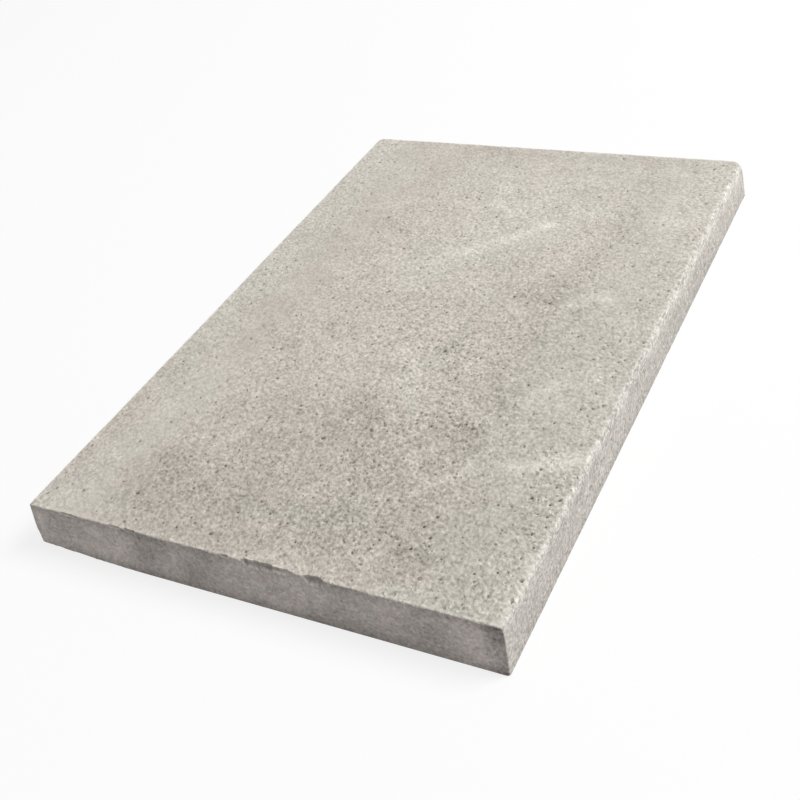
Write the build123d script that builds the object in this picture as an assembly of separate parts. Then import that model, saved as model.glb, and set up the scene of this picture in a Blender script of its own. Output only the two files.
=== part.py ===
"""Concrete paving slab: one cast piece, lying on its bed face with its walking face up.

The mould's draft makes every side lean in from the bed face to the walking face. One long edge of the
walking face is rounded over, and every other edge is only eased.

Frame: the origin is the middle of the bed face, X runs across the slab, Y along it and Z up.
"""

import os

from build123d import *

# Driving dimensions, in millimetres. The length and width are the bed face's, before its edges are eased.
LENGTH = 600
WIDTH = 400
THICKNESS = 40

# How far each side leans from upright, in degrees
DRAFT_ANGLE = 4

# Edges, in millimetres. The rounded arris is the long edge of the walking face on the +X side.
ROUNDED_ARRIS_RADIUS = 6
EASED_EDGE_RADIUS = 1.5


def drafted_block():
    """The slab as the mould's walls shape it, with all its edges still sharp."""
    bed_face = Rectangle(WIDTH, LENGTH)
    return extrude(bed_face, amount=THICKNESS, taper=DRAFT_ANGLE)


def round_long_arris(block):
    """Rounds the long edge of the walking face on the +X side, from end to end."""
    walking_face = block.faces().sort_by(Axis.Z).last
    long_arris = walking_face.edges().filter_by(Axis.Y).sort_by(Axis.X).last
    return fillet(long_arris, ROUNDED_ARRIS_RADIUS)


def ease_other_edges(block):
    """Eases each edge that is still sharp, which is all but the two lines where the rounding runs out."""
    rounding = block.faces().filter_by(GeomType.CYLINDER)
    run_out_lines = rounding.edges().filter_by(Axis.Y)
    sharp_edges = block.edges() - run_out_lines
    return fillet(sharp_edges, EASED_EDGE_RADIUS)


def paving_slab():
    return ease_other_edges(round_long_arris(drafted_block()))


os.makedirs("parts", exist_ok=True)
export_step(paving_slab(), "parts/paving_slab.step")
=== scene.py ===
"""The concrete paving slab as the photograph shows it: one cast piece, worn, pitted and stained.

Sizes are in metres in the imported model's frame: X runs across the slab, Y along it and Z up, and the
origin is the middle of the bed face. The camera looks from beyond the front end, which is -Y, and from
the +X side.
"""

import itertools
import math
from collections import namedtuple

import bpy
import numpy as np
from mathutils import Matrix, Vector
from mathutils.geometry import delaunay_2d_cdt


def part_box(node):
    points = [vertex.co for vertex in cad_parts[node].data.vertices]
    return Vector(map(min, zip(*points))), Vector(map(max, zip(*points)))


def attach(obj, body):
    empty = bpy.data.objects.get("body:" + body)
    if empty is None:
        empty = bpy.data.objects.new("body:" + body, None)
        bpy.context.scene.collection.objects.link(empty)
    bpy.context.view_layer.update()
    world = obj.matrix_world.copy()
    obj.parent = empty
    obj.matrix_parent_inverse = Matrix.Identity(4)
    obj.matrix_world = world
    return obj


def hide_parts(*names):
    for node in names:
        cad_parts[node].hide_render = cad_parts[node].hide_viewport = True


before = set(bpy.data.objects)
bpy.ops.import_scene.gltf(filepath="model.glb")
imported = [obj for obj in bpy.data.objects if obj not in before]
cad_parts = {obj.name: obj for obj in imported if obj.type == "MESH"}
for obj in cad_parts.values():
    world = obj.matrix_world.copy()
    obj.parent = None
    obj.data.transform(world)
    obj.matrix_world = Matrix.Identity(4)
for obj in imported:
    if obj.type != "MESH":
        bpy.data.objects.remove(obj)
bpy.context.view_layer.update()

MM = 0.001

# The slab's sizes come from the frame. Its sides lean in, and one long arris is rounded.
LOWEST, HIGHEST = (np.array(corner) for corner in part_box("paving_slab"))
WIDTH, LENGTH, THICKNESS = HIGHEST - LOWEST
HALF_WIDTH = WIDTH / 2
HALF_LENGTH = LENGTH / 2
ROUNDED_ARRIS_RADIUS = 3 * MM
EASED_EDGE_RADIUS = 1 * MM
BED_EDGE_RADIUS = 0.4 * MM

# The cast sides are a little out of true. A side's lean is how far its top lies inside its foot, its shift
# is how far the foot's middle lies outside the slab's box, and its turn is how much farther out the foot's
# +X or +Y end is.
Side = namedtuple("Side", "lean shift turn")
SIDES = {
    "front": Side(5.6 * MM, 1.0 * MM, -1.1 * MM),
    "back": Side(6.2 * MM, 3.4 * MM, -1.2 * MM),
    "right": Side(1.8 * MM, -0.45 * MM, -0.15 * MM),
    "left": Side(1.5 * MM, -0.6 * MM, -0.7 * MM),
}

# The photograph's camera. Its azimuth is measured from -Y towards +X, and its aim is on the walking face.
PICTURE_SIDE = 800
FOCAL_LENGTH_PIXELS = 1142.3
SENSOR_SIDE_MM = 36
CAMERA_AZIMUTH = math.radians(34.93)
CAMERA_ELEVATION = math.radians(37.99)
CAMERA_ROLL = math.radians(-13.18)
CAMERA_DISTANCE = 0.8961
CAMERA_AIM = Vector((0.0325, -0.1094, THICKNESS))

# How fine the mesh is on each face and along the edges
WALKING_FACE_STEP = 2.6 * MM
SIDE_FACE_STEP = 2.6 * MM
BED_FACE_STEP = 6 * MM
EDGE_STEP = 1.35 * MM
ROWS_BESIDE_EDGE = tuple(row * MM for row in (0.7, 1.5, 2.6, 4.0, 5.8))
STEP_JITTER_SHARE = 0.22
STEP_SHARE_BESIDE_ROWS = 0.7
STEP_SHARE_BESIDE_HOLES = 0.35
RADIUS_SHARE_BESIDE_HOLES = 1.1
WELD_DISTANCE = EDGE_STEP * 1e-3
SETTLING_ROUNDS = 6
SLOPE_NUDGE = 0.05 * MM

# Damage. A chip is a scoop out of an arris. Its middle and length are shares of the edge, from -X or -Y,
# and its depth is how far it bites into the arris's first face. It fades out between two shares of its
# half length.
Chip = namedtuple("Chip", "middle_share length_share depth")
FRONT_ARRIS_CHIPS = (
    Chip(0.10, 0.05, 0.8 * MM),
    Chip(0.215, 0.03, 1.0 * MM),
    Chip(0.25, 0.03, 1.1 * MM),
    Chip(0.466, 0.02, 0.9 * MM),
    Chip(0.523, 0.045, 2.5 * MM),
    Chip(0.552, 0.035, 2.3 * MM),
    Chip(0.585, 0.05, 1.6 * MM),
    Chip(0.648, 0.042, 2.5 * MM),
)
NO_CHIPS = ()
CHIP_FADE_SHARES = (1.2, 0.5)
CHIP_RAGGED_SHARE = 0.3

# A scoop is stretched down the arris's second face, and its middle lies a share of its bite beyond the arris.
SCOOP_STRETCH = 1.4
SCOOP_BEYOND_SHARE = 0.3

# Arrises are worn back by a share of their ragged depth, more or less by another share of it.
RAGGED_SIZE = 7 * MM
WORN_SHARE = 0.55
RAGGED_SHARE = 0.65

# How far down the right side the pale band under its long arris reaches, at the front and at the back
PALE_BAND_HEIGHTS = (6 * MM, 11 * MM)
PALE_BAND_FADE_SHARES = (1.25, 0.75)
PALE_BAND_FRONT_SHARE = 0.85

# A knocked corner is cut off by a rough plane that reaches this far along X, Y and Z from the corner, and
# the cut's edges are rounded.
KnockedCorner = namedtuple("KnockedCorner", "corner reach rounding")
KNOCKED_CORNERS = (
    KnockedCorner((-1, -1, 0), (46 * MM, 28 * MM, 2.3 * MM), 3 * MM),
    KnockedCorner((-1, -1, 0), (2.2 * MM, 5 * MM, 50 * MM), 0.6 * MM),
    KnockedCorner((1, -1, 0), (2.4 * MM, 2.4 * MM, 7 * MM), 0.5 * MM),
    KnockedCorner((-1, 1, 1), (7 * MM, 8 * MM, 12 * MM), 2 * MM),
    KnockedCorner((1, 1, 1), (11 * MM, 13 * MM, 14 * MM), 3 * MM),
    KnockedCorner((1, -1, 1), (8 * MM, 14 * MM, 10 * MM), 2 * MM),
)

# Blowholes that the photograph shows on the walking face: how far across and down the picture each one is,
# in pixels, and its diameter in millimetres
SEEN_BLOWHOLES = (
    (388, 217, 4.5), (210, 533.5, 4.0), (245.5, 551.5, 3.0), (138, 493, 3.8), (332.5, 298, 3.5),
    (429.7, 537.6, 3.8), (410.5, 548.5, 3.2), (437.6, 516.8, 3.0), (440.5, 579.5, 3.2), (521.3, 581, 4.0),
    (428.7, 546.3, 2.4), (474.2, 573.7, 2.8), (424, 526.7, 2.8), (379, 540, 2.8), (533.5, 547.7, 2.8),
    (488, 596.4, 2.4), (352, 553, 2.5), (164, 463, 3.0), (47.6, 492.8, 2.8), (176, 527.2, 2.5),
    (171, 483, 2.5), (191, 517.3, 2.5), (277.2, 378, 3.2), (301, 405.5, 3.2), (376.4, 418.5, 3.5),
    (322.4, 438.4, 3.0), (256.5, 397, 3.0), (281, 349, 2.8), (298, 340.7, 2.5), (379, 327, 2.8),
    (399, 329.2, 2.8), (550.4, 275.8, 3.2), (549.2, 303.3, 3.2), (510.2, 338.4, 3.2), (622.7, 236.7, 3.0),
    (636.4, 243.6, 3.2), (595.1, 292.5, 3.5), (640, 300, 2.8), (588.2, 169, 3.0), (416, 164, 3.0),
    (430, 211.5, 3.0), (578, 336.6, 2.8), (693, 240, 3.2), (686, 236, 2.5),
    (445, 350.8, 4.2), (452.5, 346.7, 3.6), (456.7, 345.3, 2.6), (465, 336.7, 2.6), (418.3, 347.8, 2.8),
    (436.3, 347.2, 2.4), (402.5, 370.5, 2.8), (430, 362.5, 2.6), (455, 378.3, 3.0), (416.7, 388.7, 3.0),
    (430.8, 426.2, 3.4), (436.7, 416.7, 2.6), (466.3, 424.3, 3.2), (360.5, 402.8, 2.6), (370.8, 429.2, 3.2),
    (471.7, 429.2, 3.2), (340.8, 387.5, 2.4), (378, 337, 2.4), (331.7, 336.7, 2.6), (416.7, 420, 2.6),
    (560, 500.3, 3.8), (531.7, 498, 3.8), (537.5, 514.2, 3.0), (500, 533.7, 2.4), (550, 505, 3.0),
    (531.7, 534.2, 3.2), (511.7, 506.7, 2.4), (545.8, 527.5, 2.8), (497.5, 572.5, 2.6), (511.7, 602.5, 3.2),
    (498, 505, 2.6), (473, 503, 2.8), (556.7, 487.5, 3.0), (295, 542, 2.8), (270, 514, 2.6),
    (238, 512.4, 2.6), (643.5, 342.9, 3.2), (603, 348.8, 2.6), (593, 359.4, 2.4), (624.4, 360, 2.6),
    (618, 362.3, 2.6), (592.5, 408.5, 3.4), (580.6, 409, 3.0), (603, 405.6, 2.6), (612, 376.9, 2.6),
    (607.5, 428.8, 3.0), (387.5, 160.8, 2.4), (485.8, 160, 2.6), (480, 175.3, 2.6), (368.3, 172.5, 2.6),
    (705.7, 203.9, 2.6), (715, 191, 2.4), (729.6, 180.4, 2.4), (578, 477.6, 3.0), (585, 477.6, 2.6),
    (562, 521, 2.8), (542, 574, 2.6),
)

# Smaller blowholes are scattered: how many on each face, and their least and greatest diameters
SCATTERED_BLOWHOLES = {"walking": 320, "right": 26, "left": 26, "front": 0, "back": 16, "bed": 90}
LEAST_BLOWHOLE = 1.6 * MM
GREATEST_BLOWHOLE = 3.2 * MM
BLOWHOLE_EDGE_GAP = 7.5 * MM
BLOWHOLE_CLEARANCE = 1.8

# A blowhole's depth as a share of its radius, its narrow way as a share of its long way, and its rings of
# points: each ring's share of the radius, its number of points and its share of the depth. Its outline has
# lobes and is uneven.
SEEN_DEPTH_SHARES = (0.65, 1.0)
SCATTERED_DEPTH_SHARES = (0.6, 1.1)
BLOWHOLE_DEPTH_SCALE = 1.1
BLOWHOLE_SQUEEZE_SHARES = (0.6, 1.0)
BLOWHOLE_RINGS = ((0.55, 6, 0.85), (1.0, 9, 0.0))
BLOWHOLE_LOBES = 3
BLOWHOLE_LOBE_SHARE = 0.18
BLOWHOLE_UNEVEN_SHARES = (0.85, 1.1)

# Colours as the photograph shows them, in sRGB bytes
PINKISH_MORTAR = (197, 190, 180)
GREENISH_MORTAR = (194, 190, 179.5)
GREY_SIDE_MORTAR = (188, 183, 176)
PURPLE_SIDE_MORTAR = (190, 181, 176)
PALE_ARRIS = (206, 203, 196)
# The pits' dark colour is painted shade in the pits and pores.
PIT_SHADE_COLOUR = (96, 89, 82)

# Marks on the walking face, drawn as soft strokes: the points that a stroke runs through, in millimetres
# from the slab's middle, its width in millimetres and its strength. A stain of positive strength is pale,
# and one of negative strength is dark.
Stroke = namedtuple("Stroke", "points width strength")
STAINS = (
    Stroke(((-32, 70), (-20, 83), (1, 102)), 26, 0.6),
    Stroke(((1, 102), (28, 129)), 34, 0.3),
    Stroke(((26, 127), (46, 145), (54, 154)), 22, 0.7),
    Stroke(((52, 152), (60, 158), (76, 163)), 12, 0.75),
    Stroke(((84, 182), (90, 179)), 12, 0.9),
    Stroke(((-50, 60), (20, 135), (70, 180)), 95, 0.3),
    Stroke(((-12, 215), (-8, 190), (12, 168)), 22, 0.6),
    Stroke(((0, 235), (40, 215)), 110, 0.4),
    Stroke(((194, 195), (165, 170)), 55, 0.4),
    Stroke(((150, 290), (180, 240), (160, 190)), 80, 0.45),
    Stroke(((-30, 215), (20, 180)), 70, 0.35),
    Stroke(((-120, 140), (60, 130)), 110, 0.22),
    Stroke(((-185, 290), (-180, 150), (-186, -60)), 90, 0.42),
    Stroke(((105, 45), (105, -60), (95, -150)), 110, -0.45),
    Stroke(((0, -140), (108, -142)), 50, -0.55),
    Stroke(((-80, -150), (40, -150)), 100, -0.22),
    Stroke(((-70, -285), (0, -283)), 40, -0.65),
    Stroke(((84, -284), (112, -280)), 40, -0.8),
    Stroke(((165, -125), (160, -280)), 90, -0.45),
    Stroke(((118, 38), (130, 54), (148, 56)), 22, 1.0),
    Stroke(((127, -84), (134, -73), (147, -64)), 26, 0.8),
    Stroke(((4, -50), (22, -65), (40, -80), (38, -92), (20, -95)), 24, 0.6),
    Stroke(((40, -108), (60, -135)), 34, 0.35),
    Stroke(((-18, -18), (-30, -44), (-12, -32)), 16, 0.3),
    Stroke(((84, -148), (72, -164), (75, -181), (95, -188), (120, -168)), 15, 0.8),
    Stroke(((148, -158), (165, -150), (200, -133)), 26, 1.25),
    Stroke(((148, -208), (182, -222), (165, -245)), 44, 0.2),
    Stroke(((-150, -105), (-158, -180), (-150, -235), (-175, -292)), 64, 0.4),
    Stroke(((-82, -180), (-76, -184)), 20, 0.5),
    Stroke(((-115, -225), (0, -160), (15, -115)), 90, -0.3),
    Stroke(((-105, -248), (115, -245)), 110, -0.8),
    Stroke(((-20, -180), (90, -200)), 110, -0.4),
    Stroke(((-106, -262), (-98, -265)), 26, -0.6),
    Stroke(((-28, -259), (-20, -262)), 22, -0.6),
    Stroke(((98, -258), (128, -257)), 22, -0.6),
    Stroke(((-67, -237), (-63, -239)), 16, -0.5),
    Stroke(((10, -112), (22, -135), (28, -150)), 30, -0.5),
    Stroke(((92, -125), (108, -131)), 18, -0.6),
    Stroke(((100, -65), (112, -90)), 26, -0.35),
    Stroke(((38, -46), (48, -30)), 16, -0.6),
    Stroke(((105, -10), (110, -14)), 16, -0.5),
    Stroke(((128, 34), (130, 14)), 16, -0.5),
    Stroke(((76, 44), (104, 42)), 22, -0.55),
    Stroke(((130, 185), (112, 60)), 50, -0.38),
    Stroke(((-132, 134), (-106, 136), (-80, 122)), 40, -0.4),
    Stroke(((-150, 170), (-140, 0), (-150, -70)), 75, -0.1),
    Stroke(((-66, 291), (-36, 281)), 26, -0.7),
    Stroke(((112, 288), (170, 276)), 46, -0.5),
    Stroke(((55, 284), (68, 284)), 30, -0.5),
    Stroke(((30, -180), (120, -190)), 80, -0.25),
    Stroke(((-40, -205), (-30, -240)), 50, -0.25),
    Stroke(((132, 35), (165, -5)), 40, -0.35),
    Stroke(((-80, -35), (-60, -38)), 40, -0.35),
    Stroke(((-140, 240), (-125, 205)), 60, 0.3),
    Stroke(((-40, 180), (-30, 170)), 40, 0.35),
    Stroke(((118, 244), (124, 241)), 26, -0.4),
    Stroke(((-6, 252), (6, 230)), 22, -0.35),
    Stroke(((193, -288), (193, -235)), 14, 0.7),
    Stroke(((-66, 72), (-54, 66)), 40, 0.35),
    Stroke(((-180, -205), (-160, -205)), 50, -0.25),
    Stroke(((106, -244), (112, -250)), 30, -0.3),
    Stroke(((178, -245), (184, -248)), 30, -0.3),
    Stroke(((58, -206), (66, -212)), 36, -0.25),
    Stroke(((-110, -140), (-102, -142)), 36, -0.25),
    Stroke(((-40, -175), (-32, -177)), 36, -0.25),
    Stroke(((-62, -70), (-56, -74)), 36, -0.2),
    Stroke(((60, -35), (60, -70)), 36, -0.25),
    Stroke(((-88, 176), (-80, 174)), 40, 0.25),
    Stroke(((-14, 178), (-8, 172)), 30, 0.25),
    Stroke(((-40, 36), (-12, 34)), 40, 0.25),
    Stroke(((182, -284), (178, -280)), 30, 0.3),
    Stroke(((-184, -284), (-178, -280)), 30, 0.35),
    Stroke(((56, 246), (64, 244)), 36, 0.25),
)

# Stains on the front face, by X and Z, and on the right face, by Y and Z. The first front stroke is painted
# shade at the front face's right end, beside its corner with the right side.
FRONT_STAINS_AND_SHADE = (
    # Painted shade at the front face's right end
    Stroke(((200, 2), (198, 38)), 34, -2.0),
    Stroke(((-95, 32), (-35, 28)), 50, -0.65),
    Stroke(((-195, 8), (-192, 34)), 18, 1.2),
    Stroke(((-178, 33), (-174, 33)), 9, -1.0),
    Stroke(((78, 30), (120, 26)), 34, -0.3),
)
RIGHT_STAINS = (
    Stroke(((-10, 31), (150, 30), (290, 29)), 24, 0.5),
    Stroke(((-280, 6), (290, 6)), 18, -0.35),
    Stroke(((-20, 37), (290, 36)), 16, 0.2),
    Stroke(((-157, 14), (-146, 17), (-134, 20)), 5, -1.3),
    Stroke(((-150, 20), (-136, 24)), 5, 0.8),
)

# Where the sand stands out more, and with negative strength where the face is trowelled smooth
COARSE_ZONES = (
    Stroke(((20, -40), (70, -130), (60, -240)), 190, 0.28),
    Stroke(((60, 60), (60, -60)), 150, 0.1),
    Stroke(((130, -285), (185, -270), (185, -150)), 60, 0.3),
    Stroke(((-138, 290), (-134, 100), (-134, 0), (-144, -100), (-146, -290)), 84, -0.6),
    Stroke(((-186, 280), (-182, -290)), 50, -0.15),
    Stroke(((150, 290), (150, -280)), 50, -0.2),
    Stroke(((-95, 250), (-90, 190)), 60, -0.3),
    Stroke(((-70, 125), (-40, 110)), 50, 0.2),
    Stroke(((-35, 5), (-20, 0)), 40, 0.25),
    Stroke(((85, 45), (100, 38)), 36, 0.3),
    Stroke(((85, -115), (100, -125)), 40, 0.3),
    Stroke(((-65, -235), (-50, -245)), 40, 0.3),
    Stroke(((-60, -205), (0, -205)), 50, 0.2),
    Stroke(((190, 130), (190, 70)), 40, 0.2),
    Stroke(((-60, 285), (130, 275)), 190, -0.4),
    Stroke(((160, 210), (165, 60)), 90, -0.15),
)

# Where the mortar is a little greener than elsewhere
GREENISH_ZONES = (
    Stroke(((165, 300), (165, -240)), 120, 1.1),
    Stroke(((-30, 240), (20, 150), (60, 160), (60, 240)), 120, 1.0),
    Stroke(((-190, 290), (-175, 0)), 90, 0.9),
    Stroke(((-150, 280), (-140, 200)), 60, 0.5),
    Stroke(((45, 45), (45, -30), (30, -80), (55, -125)), 36, 0.7),
    Stroke(((-32, 60), (-40, 100), (45, 105)), 90, 0.9),
    Stroke(((120, 60), (120, -160)), 50, 0.5),
    Stroke(((-182, -20), (-176, -130), (-150, -130)), 70, 0.8),
    Stroke(((120, 250), (124, 195)), 60, 0.7),
    Stroke(((30, 285), (90, 280)), 50, 0.7),
    Stroke(((170, -150), (200, -133)), 60, 0.8),
    Stroke(((-150, 130), (-145, 70)), 50, 0.5),
    Stroke(((-125, 245), (-120, 195)), 50, 0.5),
    Stroke(((-190, -285), (-130, -270)), 50, 0.8),
    Stroke(((-20, -250), (60, -235)), 40, 0.5),
    Stroke(((130, -297), (196, -288)), 54, 1.1),
    Stroke(((-172, -275), (-152, -210), (-142, -160)), 64, 0.8),
)

# A stroke's outline wanders by a share of its half width.
WANDER_SHARE = 0.3
WANDER_SIZE = 24 * MM
WANDER_SEEDS = (500, 510)

# Where the material changes, and where painted highlight and painted shade go: how deep under the new slab's
# surface, or how far outside a face
BROKEN_DEPTHS = (0.12 * MM, 0.5 * MM)
CHIP_SHADE_DEPTHS = (0.7 * MM, 1.8 * MM)
BLOWHOLE_SHADE_DEPTHS = (0.1 * MM, 1.1 * MM)
EDGE_HIGHLIGHT_PLACES = (-3.5 * MM, -0.6 * MM)
BROW_SHADE_PLACES = (-9 * MM, -1.5 * MM)
FOOT_SHADE_PLACES = (-8 * MM, -0.6 * MM)
BED_HOLLOW_PLACES = (-1 * MM, -6 * MM)

# And by how much the surface faces up, down, to the right or to an end
WALKING_SLOPES = (0.3, 0.85)
BED_SLOPES = (-0.3, -0.85)
RIGHT_SLOPES = (0.4, 0.8)
ARRIS_SLOPES = (0.25, 0.6)
END_SLOPES = (0.5, 0.9)

# Relief of the cast surface: how wide its bumps are, how high they stand and the seed of their noise
Bumps = namedtuple("Bumps", "size height seed")
UNEVEN_BUMPS = Bumps(85 * MM, 0.18 * MM, 400)
SAND_BUMPS = Bumps(5.5 * MM, 0.09 * MM, 410)
RIPPLE_BUMPS = Bumps(19 * MM, 0.1 * MM, 420)
ARRIS_BUMPS = Bumps(4.5 * MM, 0.3 * MM, 430)
BROKEN_BUMPS = Bumps(3.5 * MM, 0.25 * MM, 440)
BED_HOLLOWS = Bumps(14 * MM, 0.35 * MM, 450)
KNOCK_BUMPS = Bumps(6 * MM, 0.3 * MM, 300)
SIDE_SAND_HEIGHT = 0.03 * MM

# The concrete's patterns, from clouds down to sand, and the level direction that they are a little longer
# along, as if the face was drawn off that way
Pattern = namedtuple("Pattern", "size detail roughness")
CLOUDS = Pattern(38 * MM, 5.0, 0.6)
MOTTLE = Pattern(8 * MM, 4.0, 0.65)
PORES = Pattern(3.4 * MM, 3.0, 0.62)
SAND = Pattern(2.55 * MM, 3.0, 0.6)
PIT_SIZE = 3.8 * MM
GRAIN_SIZE = 2.3 * MM
PATTERN_DIRECTION = (0.573, -0.819, 0.0)
PATTERN_STRETCH = 1.25
STRAY_SIZE = 2.2 * MM
STRAY_REACH = 1.2 * MM
BUMP_HEIGHT = 0.4 * MM

# Tones of the concrete: how much lighter or darker each pattern, painted highlight and painted shade makes
# the mortar, from its least to its greatest
CLOUD_TONES = (0.80, 1.20)
END_CLOUD_TONES = (-0.3, 0.3)
STAIN_AND_SHADE_TONES = (0.1, 0.28)
MOTTLE_TONES = (-0.5, 0.5)
# A painted highlight lightens the walking face along its front, left and back edges.
EDGE_HIGHLIGHT_TONES = (0.0, 0.36)
# Painted shade darkens the front, back and left sides just under the walking face's arris.
BROW_SHADE_TONES = (-0.02, -0.3)
SAND_TONES = (0.21, 0.43)
SIDE_SAND_TONES = (0.0, 0.15)
END_SAND_TONES = (0.0, -0.1)
# Painted shade darkens the blowholes towards their bottoms.
BLOWHOLE_SHADE_TONES = (1.0, 0.28)
# Painted shade darkens the foot of the sides, next to the floor.
FOOT_SHADE_TONE = -0.1
PIT_RIM_TONE = 0.1
# Painted shade darkens the deep parts of chips and knocked corners on the end faces.
CHIP_SHADE_TONE = -0.22
# How far painted shade darkens the pits and pores
PIT_SHADE_STRENGTH = 0.85
SIDE_MOTTLE_SHARES = (0.6, 0.3)
ROUGHNESS = (0.82, 1.0)
SPECULAR_LEVEL = 0.25

# How open the walking face is, how its sand and specks differ in tone, and how its pits and pores spread
BROKEN_WALKING_SHARES = (1.0, 0.5)
USUAL_OPENNESS = 0.6
SAND_CONTRAST = (-2.2, 2.2)
SPECK_CONTRAST = (-1.0, 1.0)
SPECK_POWER = 3.0
SPECK_REACH = (0.6, 0.15)
SPECK_STRENGTH = 1.1
CLUSTERING = (-0.15, 0.15)
PIT_CHANCES = (0.01, 0.15)
SIDE_PIT_CHANCES = (0.0, -0.05)
PIT_RADIUS_SHARES = (0.22, 0.5)
PIT_DEPTH_SHARES = (0.3, 1.0)
PIT_WALL = (0.0, -0.22)
PIT_RIM = (0.3, 0.05)
PORE_CLUSTERING_SHARE = 0.5
PORE_STRENGTHS = (0.2, 0.8)
PORE_LEVELS = (0.36, 0.24)

# Where clouds, mottle and sand change the mortar's colour
GREEN_CLOUDS = (-0.7, 0.7)
GREEN_MOTTLE = (-0.3, 0.3)
GREEN_LEVELS = (-0.1, 1.1)
PURPLE_ENDS = (-0.12, 0.08)
PURPLE_LEVELS = (0.38, 0.66)
ARRIS_SAND = (-0.4, 0.4)
ARRIS_LEVELS = (0.32, 0.6)

# What the material is told about each point of the surface, including where painted highlight and painted
# shade go
MATERIAL_SHARES = (
    "walking", "arris", "broken", "chip", "blowhole_shade", "edge_highlight", "brow_shade", "foot_shade", "end",
    "stain_and_shade", "coarse", "green",
)

# The studio: a disk lamp at the back right, a dim even surround and a white floor
LAMP_SIZE = 2.4
LAMP_POWER = 181
LAMP_DIRECTION = (0.45, 0.3, 0.7)
LAMP_DISTANCE = 4.5
FILL_STRENGTH = 0.35
WHITE = (1, 1, 1, 1)
FLOOR_COLOUR = (0.9, 0.9, 0.9, 1)
FLOOR_REACH = 15
FLOOR_WHITE_SHARE = 0.8

SEED = 7
NOISE_CELLS = 48

# Rough noise has finer layers: how strong each is, and how many times finer
FINER_LAYERS = ((0.5, 2.1), (0.25, 4.3))
ROUGH_NOISE_REACH = 1 + sum(strength for strength, _ in FINER_LAYERS)


def smoothed(value, start, end):
    """A share that rises smoothly from 0 to 1 as value goes from start to end."""
    share = np.clip((value - start) / (end - start), 0, 1)
    return share * share * (3 - 2 * share)


def soft_noise(points, wavelength, seed):
    """Smooth random numbers from -1 to 1 that change over about a wavelength."""
    lattice = np.random.default_rng(SEED + seed).uniform(-1, 1, (NOISE_CELLS,) * 3)
    place = points / wavelength
    cell = np.floor(place).astype(int)
    part = place - cell
    blend = part * part * (3 - 2 * part)
    total = np.zeros(len(points))
    for corner in itertools.product((0, 1), repeat=3):
        weight = np.where(corner, blend, 1 - blend).prod(axis=1)
        index = (cell + corner) % NOISE_CELLS
        total += weight * lattice[tuple(index.T)]
    return total


def rough_noise(points, wavelength, seed):
    """Soft noise with two finer layers on it, as on a broken or sandy surface."""
    total = soft_noise(points, wavelength, seed)
    for number, (strength, fineness) in enumerate(FINER_LAYERS):
        total = total + strength * soft_noise(points, wavelength / fineness, seed + 1 + number)
    return total


def camera_axes():
    """The camera's right, up and backward directions."""
    backward = Vector((
        math.sin(CAMERA_AZIMUTH) * math.cos(CAMERA_ELEVATION),
        -math.cos(CAMERA_AZIMUTH) * math.cos(CAMERA_ELEVATION),
        math.sin(CAMERA_ELEVATION),
    ))
    level = (-backward).cross(Vector((0, 0, 1))).normalized()
    upright = level.cross(-backward)
    right = math.cos(CAMERA_ROLL) * level + math.sin(CAMERA_ROLL) * upright
    up = math.cos(CAMERA_ROLL) * upright - math.sin(CAMERA_ROLL) * level
    return right, up, backward


def seen_on_walking_face(across, down):
    """The place on the walking face that shows at a point of the picture."""
    right, up, backward = camera_axes()
    camera_place = CAMERA_AIM + backward * CAMERA_DISTANCE
    middle = PICTURE_SIDE / 2
    ray = right * (across - middle) + up * (middle - down) - backward * FOCAL_LENGTH_PIXELS
    return camera_place + ray * ((THICKNESS - camera_place.z) / ray.z)


# Each face of the undrafted block has a corner and two edges, whose cross product points outwards.
Face = namedtuple("Face", "name corner first second step")
ACROSS = np.array((WIDTH, 0, 0))
ALONG = np.array((0, LENGTH, 0))
UPWARDS = np.array((0, 0, THICKNESS))
FACES = (
    Face("walking", (-HALF_WIDTH, -HALF_LENGTH, THICKNESS), ACROSS, ALONG, WALKING_FACE_STEP),
    Face("bed", (-HALF_WIDTH, -HALF_LENGTH, 0), ALONG, ACROSS, BED_FACE_STEP),
    Face("front", (-HALF_WIDTH, -HALF_LENGTH, 0), ACROSS, UPWARDS, SIDE_FACE_STEP),
    Face("right", (HALF_WIDTH, -HALF_LENGTH, 0), ALONG, UPWARDS, SIDE_FACE_STEP),
    Face("back", (HALF_WIDTH, HALF_LENGTH, 0), -ACROSS, UPWARDS, SIDE_FACE_STEP),
    Face("left", (-HALF_WIDTH, HALF_LENGTH, 0), -ALONG, UPWARDS, SIDE_FACE_STEP),
)

Blowhole = namedtuple("Blowhole", "first second radius depth")


def side_places(across_share, along_share, height):
    """X of the left and right sides and Y of the front and back ones, at shares of the box and a height."""
    end_shares = {"left": along_share, "right": along_share, "front": across_share, "back": across_share}
    out = {}
    for name, end_share in end_shares.items():
        side = SIDES[name]
        out[name] = side.shift + side.turn * end_share - side.lean * height / THICKNESS
    left, right = -HALF_WIDTH - out["left"], HALF_WIDTH + out["right"]
    front, back = -HALF_LENGTH - out["front"], HALF_LENGTH + out["back"]
    return left, right, front, back


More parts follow.
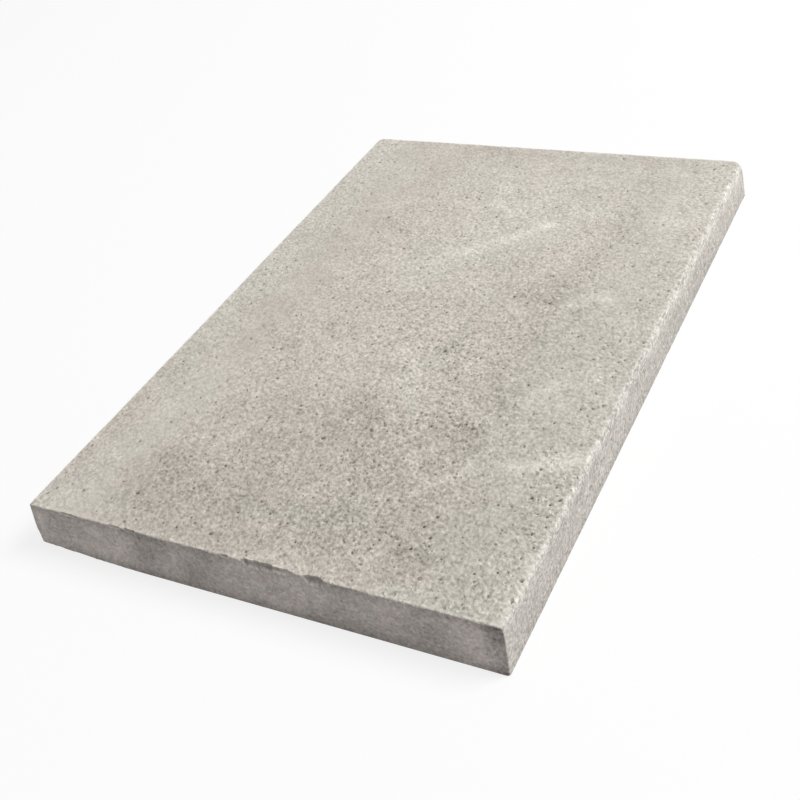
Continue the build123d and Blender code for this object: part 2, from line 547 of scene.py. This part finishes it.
def blowholes_on(face, first_length, second_length, random):
    """The face's blowholes: those that the photograph shows, and smaller ones scattered between them."""
    holes = []
    if face.name == "walking":
        for across, down, diameter in SEEN_BLOWHOLES:
            place = seen_on_walking_face(across, down)
            left, right, front, back = side_places(place.x / HALF_WIDTH, place.y / HALF_LENGTH, THICKNESS)
            first = WIDTH * (place.x - left) / (right - left)
            second = LENGTH * (place.y - front) / (back - front)
            radius = diameter * MM / 2
            holes.append(Blowhole(first, second, radius, radius * random.uniform(*SEEN_DEPTH_SHARES)))
    wanted = len(holes) + SCATTERED_BLOWHOLES[face.name]
    while len(holes) < wanted:
        first = random.uniform(BLOWHOLE_EDGE_GAP, first_length - BLOWHOLE_EDGE_GAP)
        second = random.uniform(BLOWHOLE_EDGE_GAP, second_length - BLOWHOLE_EDGE_GAP)
        size_share = random.uniform(0, 1) ** 2
        radius = (LEAST_BLOWHOLE + (GREATEST_BLOWHOLE - LEAST_BLOWHOLE) * size_share) / 2
        clear = all(
            math.hypot(first - hole.first, second - hole.second) > BLOWHOLE_CLEARANCE * (radius + hole.radius)
            for hole in holes
        )
        if clear:
            holes.append(Blowhole(first, second, radius, radius * random.uniform(*SCATTERED_DEPTH_SHARES)))
    return holes


def blowhole_points(hole, random):
    """Points for one blowhole, its middle first, and how deep each lies as a share of the hole's depth."""
    turn = random.uniform(0, math.tau)
    lobe_turn = random.uniform(0, math.tau)
    squeeze = random.uniform(*BLOWHOLE_SQUEEZE_SHARES)
    points = [(hole.first, hole.second)]
    depth_shares = [1.0]
    for ring_share, count, depth_share in BLOWHOLE_RINGS:
        for index in range(count):
            angle = math.tau * index / count
            lobe = 1 + BLOWHOLE_LOBE_SHARE * math.sin(BLOWHOLE_LOBES * angle + lobe_turn)
            reach = hole.radius * ring_share * lobe * random.uniform(*BLOWHOLE_UNEVEN_SHARES)
            long_way = reach * math.cos(angle)
            short_way = reach * squeeze * math.sin(angle)
            points.append((
                hole.first + long_way * math.cos(turn) - short_way * math.sin(turn),
                hole.second + long_way * math.sin(turn) + short_way * math.cos(turn),
            ))
            depth_shares.append(depth_share)
    return points, depth_shares


def edge_points(first_length, second_length):
    """Points along the face's four edges and in rows beside them, which neighbouring faces share."""
    points = []
    for row in (0,) + ROWS_BESIDE_EDGE:
        if 2 * row >= min(first_length, second_length):
            break
        for length, place in (
            (first_length, lambda along, side: (along, row if side == 0 else second_length - row)),
            (second_length, lambda along, side: (row if side == 0 else first_length - row, along)),
        ):
            for along in np.linspace(0, length, round(length / EDGE_STEP) + 1):
                from_end = min(along, length - along)
                if row == 0 and from_end > 0 or row > 0 and from_end > row + EDGE_STEP / 3:
                    points += [place(along, 0), place(along, 1)]
        points += [
            (first, second)
            for first in (row, first_length - row)
            for second in (row, second_length - row)
        ]
    return points


def inner_points(first_length, second_length, step, holes, random):
    """A jittered lattice inside the rows beside the edges, kept clear of the blowholes."""
    gap = ROWS_BESIDE_EDGE[-1] + step * STEP_SHARE_BESIDE_ROWS
    row_step = step * math.sqrt(3) / 2
    rows = np.arange(gap, second_length - gap + row_step / 2, row_step)
    lattice = np.array([
        (along + (step / 2 if number % 2 else 0), row)
        for number, row in enumerate(rows)
        for along in np.arange(gap, first_length - gap, step)
    ])
    lattice = lattice + random.uniform(-1, 1, lattice.shape) * step * STEP_JITTER_SHARE
    keep = np.ones(len(lattice), bool)
    for hole in holes:
        away = np.hypot(lattice[:, 0] - hole.first, lattice[:, 1] - hole.second)
        keep &= away > hole.radius * RADIUS_SHARE_BESIDE_HOLES + step * STEP_SHARE_BESIDE_HOLES
    return lattice[keep]


def face_mesh(face, random):
    """One face of the block as flat points, triangles and how deep a blowhole sinks each point."""
    first_length = float(np.linalg.norm(face.first))
    second_length = float(np.linalg.norm(face.second))
    holes = blowholes_on(face, first_length, second_length, random)
    points = edge_points(first_length, second_length)
    lattice = inner_points(first_length, second_length, face.step, holes, random)
    points += [tuple(point) for point in lattice]
    sink = [0.0] * len(points)
    for hole in holes:
        hole_points, depth_shares = blowhole_points(hole, random)
        points += hole_points
        sink += [share * hole.depth * BLOWHOLE_DEPTH_SCALE for share in depth_shares]
    outcome = delaunay_2d_cdt([Vector(point) for point in points], [], [], 0, WELD_DISTANCE)
    flat_points = np.array([tuple(point) for point in outcome[0]])
    sink = np.array([sink[origin[0]] for origin in outcome[3]])
    return flat_points, np.array(outcome[2]), sink


def face_in_space(face, flat_points):
    """Flat points of a face as points on the sharp block with its leaning sides."""
    first = np.array(face.first) / np.linalg.norm(face.first)
    second = np.array(face.second) / np.linalg.norm(face.second)
    points = np.array(face.corner) + flat_points[:, :1] * first + flat_points[:, 1:] * second
    across_share = points[:, 0] / HALF_WIDTH
    along_share = points[:, 1] / HALF_LENGTH
    left, right, front, back = side_places(across_share, along_share, points[:, 2])
    points[:, 0] = left + (right - left) * (1 + across_share) / 2
    points[:, 1] = front + (back - front) * (1 + along_share) / 2
    return points


def face_distances(points):
    """How far points lie outside each of the sharp block's six faces."""
    x, y, z = points.T
    left, right, front, back = side_places(x / HALF_WIDTH, y / HALF_LENGTH, z)
    level_distances = {"right": x - right, "left": left - x, "back": y - back, "front": front - y}
    distances = {"walking": z - THICKNESS, "bed": -z}
    for name, level in level_distances.items():
        distances[name] = level * THICKNESS / math.hypot(THICKNESS, SIDES[name].lean)
    return distances


def rounded_meet(first, second, radius):
    """Joins the distances outside two faces that meet in an edge of that radius."""
    near_edge = np.hypot(np.maximum(first + radius, 0), np.maximum(second + radius, 0))
    return np.minimum(np.maximum(first, second), -radius) + near_edge


def new_slab_distance(points):
    """How far points lie outside the slab as it left the mould."""
    face = face_distances(points)
    section = rounded_meet(face["walking"], face["right"], ROUNDED_ARRIS_RADIUS)
    section = rounded_meet(section, face["left"], EASED_EDGE_RADIUS)
    ends = np.maximum(face["front"], face["back"])
    sides = rounded_meet(section, ends, EASED_EDGE_RADIUS)
    return rounded_meet(sides, face["bed"], BED_EDGE_RADIUS)


# Every edge has its two faces, the axis it runs along, how ragged it is and its chips.
Arris = namedtuple("Arris", "first second axis ragged_depth chips")
ARRISES = (
    Arris("walking", "front", 0, 0.75 * MM, FRONT_ARRIS_CHIPS),
    Arris("walking", "left", 1, 0.55 * MM, NO_CHIPS),
    Arris("walking", "back", 0, 0.3 * MM, NO_CHIPS),
    Arris("front", "left", 2, 0.5 * MM, NO_CHIPS),
    Arris("front", "right", 2, 0.35 * MM, NO_CHIPS),
    Arris("back", "left", 2, 0.5 * MM, NO_CHIPS),
    Arris("back", "right", 2, 0.5 * MM, NO_CHIPS),
    Arris("bed", "front", 0, 0.15 * MM, NO_CHIPS),
    Arris("bed", "right", 1, 0.35 * MM, NO_CHIPS),
    Arris("bed", "left", 1, 0.35 * MM, NO_CHIPS),
    Arris("bed", "back", 0, 0.35 * MM, NO_CHIPS),
    Arris("walking", "right", 1, 1.5 * MM, NO_CHIPS),
)
EDGE_LENGTHS = (WIDTH, LENGTH, THICKNESS)


def arris_wear(points, arris, seed):
    """How far the arris is worn back beside each point, and how deep each of its chips bites there."""
    ragged = rough_noise(points, RAGGED_SIZE, seed)
    worn = arris.ragged_depth * (WORN_SHARE + RAGGED_SHARE * ragged)
    place_share = (points[:, arris.axis] - LOWEST[arris.axis]) / EDGE_LENGTHS[arris.axis]
    bites = []
    for chip in arris.chips:
        from_middle = np.abs(place_share - chip.middle_share) / (chip.length_share / 2)
        bites.append(chip.depth * smoothed(from_middle, *CHIP_FADE_SHARES) * (1 + CHIP_RAGGED_SHARE * ragged))
    return worn, bites


def scoop_depth(first, second, bite):
    """How far points lie inside a scoop, which undercuts the first face and runs out down the second."""
    beyond_arris = SCOOP_BEYOND_SHARE * bite
    radius = np.hypot(bite + beyond_arris, beyond_arris)
    return radius - np.hypot(beyond_arris - second, beyond_arris + first / SCOOP_STRETCH)


def corner_depth(points, knocked):
    """How far points lie outside the plane that a knock cut a corner off by."""
    edge_lengths = np.array((HALF_WIDTH, HALF_LENGTH, THICKNESS))
    corner = np.array(knocked.corner) * edge_lengths
    inwards = np.where(np.array(knocked.corner) > 0, -1, 1)
    reach = np.array(knocked.reach)
    kept = ((points - corner) * inwards / reach).sum(axis=1) - 1
    return -kept / np.linalg.norm(1 / reach)


def worn_slab_distance(points, wear):
    """How far points lie outside the slab as its arrises and corners are now."""
    face = face_distances(points)
    distance = new_slab_distance(points)
    for arris, (worn, bites) in zip(ARRISES, wear["arrises"]):
        first, second = face[arris.first], face[arris.second]
        distance = np.maximum(distance, (first + second) / math.sqrt(2) + worn)
        for bite in bites:
            distance = np.maximum(distance, scoop_depth(first, second, bite))
    for knocked in KNOCKED_CORNERS:
        depth = corner_depth(points, knocked) + wear["knocks"]
        distance = rounded_meet(distance, depth, knocked.rounding)
    return distance


def outward(points, wear):
    """The direction straight out of the worn slab at each point."""
    slope = np.stack([
        worn_slab_distance(points + nudge, wear) - worn_slab_distance(points - nudge, wear)
        for nudge in SLOPE_NUDGE * np.eye(3)
    ], axis=1)
    return slope / np.linalg.norm(slope, axis=1, keepdims=True).clip(1e-9)


def settle_on_slab(points):
    """Moves points of the sharp block onto the worn slab, and gives the directions outwards there."""
    wear = {
        "arrises": [arris_wear(points, arris, 10 * number) for number, arris in enumerate(ARRISES)],
        "knocks": KNOCK_BUMPS.height * rough_noise(points, KNOCK_BUMPS.size, KNOCK_BUMPS.seed),
    }
    for _ in range(SETTLING_ROUNDS):
        points = points - worn_slab_distance(points, wear)[:, None] * outward(points, wear)
    return points, outward(points, wear)


def strokes_sum(points, strokes, axes=(0, 1)):
    """How strongly soft strokes in the plane of two axes mark each point, added up where they cross."""
    wander = np.stack([rough_noise(points, WANDER_SIZE, seed) for seed in WANDER_SEEDS], axis=1)
    total = np.zeros(len(points))
    for stroke in strokes:
        strayed = points[:, axes] + WANDER_SHARE * stroke.width * MM / 2 * wander
        nearest = np.full(len(points), np.inf)
        for start, end in zip(stroke.points, stroke.points[1:]):
            origin = np.array(start) * MM
            run = np.array(end) * MM - origin
            along_share = np.clip((strayed - origin) @ run / (run @ run), 0, 1)
            away = np.linalg.norm(strayed - origin - along_share[:, None] * run, axis=1)
            nearest = np.minimum(nearest, away)
        total += stroke.strength * smoothed(nearest, stroke.width * MM / 2, 0)
    return total


def surface_shares(points, normals):
    """How much each point belongs to the faces, edges, stains, painted highlight and painted shade that the
    material tells apart.
    """
    face = face_distances(points)
    along_share = points[:, 1] / LENGTH + 0.5
    front_height, back_height = PALE_BAND_HEIGHTS
    band_height = front_height + (back_height - front_height) * along_share
    depth = -new_slab_distance(points)
    in_band = smoothed(-face["walking"] / band_height, *PALE_BAND_FADE_SHARES)
    band_share = PALE_BAND_FRONT_SHARE + (1 - PALE_BAND_FRONT_SHARE) * along_share
    nearest_edge = np.maximum.reduce([face["front"], face["left"], face["back"]])
    walking = smoothed(normals[:, 2], *WALKING_SLOPES)
    right = smoothed(normals[:, 0], *RIGHT_SLOPES)
    front = smoothed(-normals[:, 1], *END_SLOPES)
    stain_and_shade = walking * strokes_sum(points, STAINS)
    # The front strokes include painted shade at the front face's right end.
    stain_and_shade += front * strokes_sum(points, FRONT_STAINS_AND_SHADE, (0, 2))
    stain_and_shade += right * strokes_sum(points, RIGHT_STAINS, (1, 2))
    return {
        "walking": walking,
        "arris": in_band * band_share * smoothed(normals[:, 0], *ARRIS_SLOPES),
        "bed": smoothed(normals[:, 2], *BED_SLOPES),
        "broken": smoothed(depth, *BROKEN_DEPTHS),
        # How deep in a chip or knock each point lies, for the painted shade there
        "chip": smoothed(depth, *CHIP_SHADE_DEPTHS),
        # Where a painted highlight lightens the walking face along its front, left and back edges
        "edge_highlight": smoothed(nearest_edge, *EDGE_HIGHLIGHT_PLACES),
        "bed_hollow": smoothed(np.maximum(nearest_edge, face["right"]), *BED_HOLLOW_PLACES),
        # Where painted shade darkens the sides just under the walking face's arris
        "brow_shade": smoothed(face["walking"], *BROW_SHADE_PLACES) * (1 - right),
        # Where painted shade darkens the foot of the sides, next to the floor
        "foot_shade": smoothed(face["bed"], *FOOT_SHADE_PLACES),
        "end": smoothed(np.abs(normals[:, 1]), *END_SLOPES),
        "stain_and_shade": stain_and_shade,
        "coarse": strokes_sum(points, COARSE_ZONES),
        "green": strokes_sum(points, GREENISH_ZONES),
    }


def relief(points, shares):
    """How far the cast surface stands out or lies in at each point."""
    uneven = soft_noise(points, UNEVEN_BUMPS.size, UNEVEN_BUMPS.seed)
    sandy = rough_noise(points, SAND_BUMPS.size, SAND_BUMPS.seed)
    ripple = soft_noise(points, RIPPLE_BUMPS.size, RIPPLE_BUMPS.seed)
    arris = rough_noise(points, ARRIS_BUMPS.size, ARRIS_BUMPS.seed)
    broken = rough_noise(points, BROKEN_BUMPS.size, BROKEN_BUMPS.seed)
    hollow = rough_noise(points, BED_HOLLOWS.size, BED_HOLLOWS.seed)
    side_share = 1 - np.maximum(shares["walking"], shares["bed"])
    height = UNEVEN_BUMPS.height * uneven
    height = height + shares["walking"] * SAND_BUMPS.height * sandy
    height = height + side_share * (RIPPLE_BUMPS.height * ripple + SIDE_SAND_HEIGHT * sandy)
    height = height + shares["arris"] * ARRIS_BUMPS.height * arris
    height = height + shares["broken"] * BROKEN_BUMPS.height * broken
    bed_height = -BED_HOLLOWS.height * (1 + hollow / ROUGH_NOISE_REACH)
    return height * (1 - shares["bed"]) + bed_height * shares["bed"] * shares["bed_hollow"]


def slab_mesh():
    """The worn slab as one closed mesh, with a named share at each point for its material."""
    random = np.random.default_rng(SEED)
    points, triangles, sinks = [], [], []
    start = 0
    for face in FACES:
        flat_points, face_triangles, sink = face_mesh(face, random)
        points.append(face_in_space(face, flat_points))
        triangles.append(face_triangles + start)
        sinks.append(sink)
        start += len(flat_points)
    points = np.concatenate(points)
    sink = np.concatenate(sinks)
    keys = np.round(points / WELD_DISTANCE).astype(int)
    _, kept, shared = np.unique(keys, axis=0, return_index=True, return_inverse=True)
    triangles = shared.ravel()[np.concatenate(triangles)]
    points, sink = points[kept], sink[kept]
    points, normals = settle_on_slab(points)
    shares = surface_shares(points, normals)
    points = points + normals * (relief(points, shares) - sink)[:, None]
    # How deep each point lies in a blowhole, for the painted shade there
    shares["blowhole_shade"] = smoothed(sink, *BLOWHOLE_SHADE_DEPTHS)
    mesh = bpy.data.meshes.new("paving_slab_cast")
    mesh.from_pydata(points.tolist(), [], triangles.tolist())
    mesh.polygons.foreach_set("use_smooth", np.ones(len(mesh.polygons), bool))
    for name in MATERIAL_SHARES:
        attribute = mesh.attributes.new(name, "FLOAT", "POINT")
        attribute.data.foreach_set("value", shares[name].astype(np.float32))
    mesh.update()
    return mesh


def add_node(tree, kind, feeds, **settings):
    """Adds a shader node and feeds its sockets, each from a number, a colour or another node's output."""
    node = tree.nodes.new(kind)
    for name, value in settings.items():
        setattr(node, name, value)
    for socket, value in feeds.items():
        if isinstance(value, bpy.types.NodeSocket):
            tree.links.new(value, node.inputs[socket])
        else:
            node.inputs[socket].default_value = value
    return node


class Shading:
    """Builds one material's nodes. Each method adds a node and gives its output."""

    def __init__(self, material):
        self.tree = material.node_tree

    def node(self, kind, feeds, **settings):
        return add_node(self.tree, kind, feeds, **settings)

    def attribute(self, name):
        return self.node("ShaderNodeAttribute", {}, attribute_name=name).outputs["Fac"]

    def math(self, operation, first, second=0.0):
        return self.node("ShaderNodeMath", {0: first, 1: second}, operation=operation).outputs[0]

    def total(self, values):
        result = values[0]
        for value in values[1:]:
            result = self.math("ADD", result, value)
        return result

    def share(self, value, start, end):
        """A share that goes smoothly from 0 at start to 1 at end."""
        feeds = {"Value": value, "From Min": start, "From Max": end}
        return self.node("ShaderNodeMapRange", feeds, interpolation_type="SMOOTHSTEP").outputs["Result"]

    def scaled(self, value, start, end):
        """A number from 0 to 1 spread evenly between start and end."""
        feeds = {"Value": value, "To Min": start, "To Max": end}
        return self.node("ShaderNodeMapRange", feeds).outputs["Result"]

    def noise(self, place, pattern):
        feeds = {
            "Vector": place, "Scale": 1 / pattern.size,
            "Detail": pattern.detail, "Roughness": pattern.roughness,
        }
        return self.node("ShaderNodeTexNoise", feeds).outputs["Fac"]

    def cells(self, place, size):
        """Irregular cells: how far a place is from its cell's middle, in cells, and three random numbers."""
        node = self.node("ShaderNodeTexVoronoi", {"Vector": place, "Scale": 1 / size})
        randoms = self.node("ShaderNodeSeparateColor", {0: node.outputs["Color"]}).outputs
        return node.outputs["Distance"], randoms

    def vector(self, operation, *parts):
        feeds = dict(enumerate(parts))
        return self.node("ShaderNodeVectorMath", feeds, operation=operation).outputs[0]

    def drawn_out(self, place, direction, stretch):
        """A place for patterns that are longer along a direction than across it."""
        feeds = {0: place, 1: direction}
        along = self.node("ShaderNodeVectorMath", feeds, operation="DOT_PRODUCT").outputs["Value"]
        back_off = self.shade([(1 / stretch - 1) * part for part in direction], along)
        return self.vector("ADD", place, back_off)

    def strayed(self, place, size, reach):
        """A place moved about by noise, so that cells there get uneven outlines."""
        feeds = {"Vector": place, "Scale": 1 / size, "Detail": 1.0}
        noise = self.node("ShaderNodeTexNoise", feeds).outputs["Color"]
        centred = self.vector("SUBTRACT", noise, (0.5, 0.5, 0.5))
        return self.vector("MULTIPLY_ADD", centred, (2 * reach, 2 * reach, 2 * reach), place)

    def blend(self, share, first, second):
        """Mixes two colours, by the sockets that a mix node keeps for colours."""
        return self.node("ShaderNodeMix", {0: share, 6: first, 7: second}, data_type="RGBA").outputs[2]

    def shade(self, colour, factor):
        """A colour made lighter or darker by a factor."""
        return self.node("ShaderNodeVectorMath", {0: colour, "Scale": factor}, operation="SCALE").outputs[0]


def linear(colour):
    """A colour in sRGB bytes as the linear colour that a shader takes."""
    parts = [part / 255 for part in colour]
    return [part / 12.92 if part <= 0.04045 else ((part + 0.055) / 1.055) ** 2.4 for part in parts] + [1]


def concrete():
    """Cast concrete: sandy and stained on the walking face, smoother and mottled on the sides, with a painted
    highlight along the walking face's edges and painted shade under the arris, at the foot, in chips,
    blowholes and pits.
    """
    material = bpy.data.materials.new("concrete")
    material.use_nodes = True
    shading = Shading(material)
    place = shading.node("ShaderNodeTexCoord", {}).outputs["Object"]
    share = {name: shading.attribute(name) for name in MATERIAL_SHARES}
    unbroken = shading.scaled(share["broken"], *BROKEN_WALKING_SHARES)
    walking = shading.math("MULTIPLY", share["walking"], unbroken)
    side_share = shading.math("SUBTRACT", 1.0, walking)

    pattern_place = shading.drawn_out(place, PATTERN_DIRECTION, PATTERN_STRETCH)
    cloud = shading.noise(place, CLOUDS)
    mottle = shading.noise(pattern_place, MOTTLE)
    sand_noise = shading.noise(pattern_place, SAND)
    pore_noise = shading.noise(pattern_place, PORES)
    uneven_place = shading.strayed(pattern_place, STRAY_SIZE, STRAY_REACH)
    grain_distance, grain_randoms = shading.cells(uneven_place, GRAIN_SIZE)
    pit_distance, pit_randoms = shading.cells(uneven_place, PIT_SIZE)

    openness = shading.math("MULTIPLY", shading.math("ADD", share["coarse"], USUAL_OPENNESS), walking)
    grain_tone = shading.math("POWER", shading.scaled(grain_randoms[0], *SPECK_CONTRAST), SPECK_POWER)
    speck = shading.math("MULTIPLY", grain_tone, shading.share(grain_distance, *SPECK_REACH))
    grain = shading.total([
        shading.scaled(sand_noise, *SAND_CONTRAST), shading.math("MULTIPLY", speck, SPECK_STRENGTH),
    ])
    sand_strength = shading.total([
        shading.scaled(openness, *SAND_TONES), shading.scaled(side_share, *SIDE_SAND_TONES),
        shading.scaled(share["end"], *END_SAND_TONES),
    ])
    sand = shading.math("MULTIPLY", grain, sand_strength)

    clustering = shading.total([shading.scaled(pattern, *CLUSTERING) for pattern in (cloud, mottle)])
    pit_chance = shading.total([
        shading.scaled(openness, *PIT_CHANCES), clustering, shading.scaled(side_share, *SIDE_PIT_CHANCES),
    ])
    chosen = shading.math("LESS_THAN", pit_randoms[0], pit_chance)
    pit_edge = shading.math("SUBTRACT", pit_distance, shading.scaled(pit_randoms[1], *PIT_RADIUS_SHARES))
    pit_depth = shading.math("MULTIPLY", chosen, shading.scaled(pit_randoms[2], *PIT_DEPTH_SHARES))
    pit_shape = shading.math("MULTIPLY", pit_depth, shading.share(pit_edge, *PIT_WALL))
    pit_rim = shading.math("MULTIPLY", chosen, shading.share(pit_edge, *PIT_RIM))
    pore_clusters = shading.math("MULTIPLY", clustering, PORE_CLUSTERING_SHARE)
    pore_level = shading.math("SUBTRACT", pore_noise, pore_clusters)
    pore_strength = shading.scaled(openness, *PORE_STRENGTHS)
    pore = shading.math("MULTIPLY", shading.share(pore_level, *PORE_LEVELS), pore_strength)
    pits_and_their_shade = shading.math("MAXIMUM", pore, pit_shape)

    green_level = shading.total([
        share["green"], shading.scaled(cloud, *GREEN_CLOUDS), shading.scaled(mottle, *GREEN_MOTTLE),
    ])
    green_share = shading.share(green_level, *GREEN_LEVELS)
    mortar = shading.blend(green_share, linear(PINKISH_MORTAR), linear(GREENISH_MORTAR))
    purple_level = shading.math("ADD", mottle, shading.scaled(share["end"], *PURPLE_ENDS))
    purple_share = shading.share(purple_level, *PURPLE_LEVELS)
    side_mortar = shading.blend(purple_share, linear(GREY_SIDE_MORTAR), linear(PURPLE_SIDE_MORTAR))
    mortar = shading.blend(walking, side_mortar, mortar)
    arris_level = shading.math("ADD", mottle, shading.scaled(sand_noise, *ARRIS_SAND))
    arris_share = shading.math("MULTIPLY", share["arris"], shading.share(arris_level, *ARRIS_LEVELS))
    mortar = shading.blend(arris_share, mortar, linear(PALE_ARRIS))

    # Stains, and painted shade at the front face's right end
    stain_and_shade = shading.math("MULTIPLY", share["stain_and_shade"], shading.scaled(mottle, *STAIN_AND_SHADE_TONES))
    mottle_tone = shading.scaled(mottle, *MOTTLE_TONES)
    side_mottle = shading.math("MULTIPLY", mottle_tone, shading.scaled(walking, *SIDE_MOTTLE_SHARES))
    # Painted highlight along the walking face's front, left and back edges
    edge_highlight = shading.math("MULTIPLY", share["edge_highlight"], walking)
    edge_highlight_tone = shading.math("MULTIPLY", edge_highlight, shading.scaled(mottle, *EDGE_HIGHLIGHT_TONES))
    # Painted shade along the top of the front, back and left sides, under the arris
    brow_shade = shading.math("MULTIPLY", share["brow_shade"], side_share)
    brow_shade_tone = shading.math("MULTIPLY", brow_shade, shading.scaled(mottle, *BROW_SHADE_TONES))
    # Painted shade along the foot of the sides
    foot_shade = shading.math("MULTIPLY", share["foot_shade"], side_share)
    end_clouds = shading.math("MULTIPLY", share["end"], shading.scaled(cloud, *END_CLOUD_TONES))
    # Painted shade deep in chips and knocked corners on the end faces
    chip_shade_share = shading.math("MULTIPLY", share["chip"], share["end"])
    tone = shading.total([
        shading.scaled(cloud, *CLOUD_TONES), stain_and_shade, side_mottle, sand, edge_highlight_tone, brow_shade_tone, end_clouds,
        shading.math("MULTIPLY", foot_shade, FOOT_SHADE_TONE), shading.math("MULTIPLY", pit_rim, PIT_RIM_TONE),
        shading.math("MULTIPLY", chip_shade_share, CHIP_SHADE_TONE),
    ])
    # Painted shade deep in the blowholes, on top of the shadow of their hollows
    tone = shading.math("MULTIPLY", tone, shading.scaled(share["blowhole_shade"], *BLOWHOLE_SHADE_TONES))
    colour = shading.shade(mortar, tone)
    # Painted shade darkens the pits and pores, which the bump also sinks
    colour = shading.blend(shading.math("MULTIPLY", pits_and_their_shade, PIT_SHADE_STRENGTH), colour, linear(PIT_SHADE_COLOUR))

    height = shading.math("SUBTRACT", sand, pits_and_their_shade)
    bump = shading.node("ShaderNodeBump", {"Height": height, "Distance": BUMP_HEIGHT, "Strength": 1.0})
    shader = shading.tree.nodes["Principled BSDF"]
    shader.inputs["Specular IOR Level"].default_value = SPECULAR_LEVEL
    shading.tree.links.new(colour, shader.inputs["Base Color"])
    shading.tree.links.new(shading.scaled(cloud, *ROUGHNESS), shader.inputs["Roughness"])
    shading.tree.links.new(bump.outputs[0], shader.inputs["Normal"])
    return material


def slab():
    """The slab, which stands for the CAD node and rides on the model's one body."""
    piece = bpy.data.objects.new("paving_slab_cast", slab_mesh())
    bpy.context.collection.objects.link(piece)
    piece.data.materials.append(concrete())
    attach(piece, "root")
    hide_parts("paving_slab")
    return piece


def seen_share(tree):
    """1 where the surround is looked at, also mirrored or through glass, and 0 where it only gives light."""
    light_path = add_node(tree, "ShaderNodeLightPath", {}).outputs
    seen = light_path["Is Camera Ray"]
    for ray in ("Is Glossy Ray", "Is Transmission Ray"):
        seen = add_node(tree, "ShaderNodeMath", {0: seen, 1: light_path[ray]}, operation="MAXIMUM").outputs[0]
    return seen


def floor():
    """A wide white floor, which shows the camera mostly plain white and keeps some of the shadow."""
    mesh = bpy.data.meshes.new("studio_floor")
    corners = [(FLOOR_REACH * x, FLOOR_REACH * y, 0) for x, y in ((-1, -1), (1, -1), (1, 1), (-1, 1))]
    mesh.from_pydata(corners, [], [(0, 1, 2, 3)])
    sheet = bpy.data.objects.new("studio_floor", mesh)
    bpy.context.collection.objects.link(sheet)
    material = bpy.data.materials.new("studio_floor")
    material.use_nodes = True
    tree = material.node_tree
    tree.nodes.clear()
    matt = add_node(tree, "ShaderNodeBsdfDiffuse", {"Color": FLOOR_COLOUR})
    white = add_node(tree, "ShaderNodeEmission", {"Color": WHITE, "Strength": 1.0})
    white_feeds = {0: seen_share(tree), 1: FLOOR_WHITE_SHARE}
    white_share = add_node(tree, "ShaderNodeMath", white_feeds, operation="MULTIPLY")
    choice = add_node(tree, "ShaderNodeMixShader", {
        0: white_share.outputs[0], 1: matt.outputs[0], 2: white.outputs[0],
    })
    add_node(tree, "ShaderNodeOutputMaterial", {"Surface": choice.outputs[0]})
    mesh.materials.append(material)
    return sheet


def studio_light():
    """A soft lamp from the back right, as the photograph's shading shows, and an even white surround."""
    lamp = bpy.data.lights.new("key_lamp", "AREA")
    lamp.shape = "DISK"
    lamp.size = LAMP_SIZE
    lamp.energy = LAMP_POWER
    holder = bpy.data.objects.new("key_lamp", lamp)
    towards = Vector(LAMP_DIRECTION).normalized()
    holder.location = towards * LAMP_DISTANCE
    holder.rotation_euler = towards.to_track_quat("Z", "Y").to_euler()
    bpy.context.collection.objects.link(holder)
    world = bpy.data.worlds.new("studio")
    world.use_nodes = True
    tree = world.node_tree
    tree.nodes.clear()
    fill = add_node(tree, "ShaderNodeBackground", {"Color": WHITE, "Strength": FILL_STRENGTH})
    shown = add_node(tree, "ShaderNodeBackground", {"Color": WHITE, "Strength": 1.0})
    choice = add_node(tree, "ShaderNodeMixShader", {
        0: seen_share(tree), 1: fill.outputs[0], 2: shown.outputs[0],
    })
    add_node(tree, "ShaderNodeOutputWorld", {"Surface": choice.outputs[0]})
    bpy.context.scene.world = world


def camera():
    """The photograph's camera."""
    right, up, backward = camera_axes()
    lens = bpy.data.cameras.new("camera")
    lens.sensor_fit = "HORIZONTAL"
    lens.sensor_width = SENSOR_SIDE_MM
    lens.lens = FOCAL_LENGTH_PIXELS / PICTURE_SIDE * SENSOR_SIDE_MM
    holder = bpy.data.objects.new("camera", lens)
    turn = Matrix((right, up, backward)).transposed()
    holder.matrix_world = Matrix.Translation(CAMERA_AIM + backward * CAMERA_DISTANCE) @ turn.to_4x4()
    bpy.context.collection.objects.link(holder)
    bpy.context.scene.camera = holder


slab()
floor()
studio_light()
camera()
bpy.context.scene.view_settings.view_transform = "Standard"
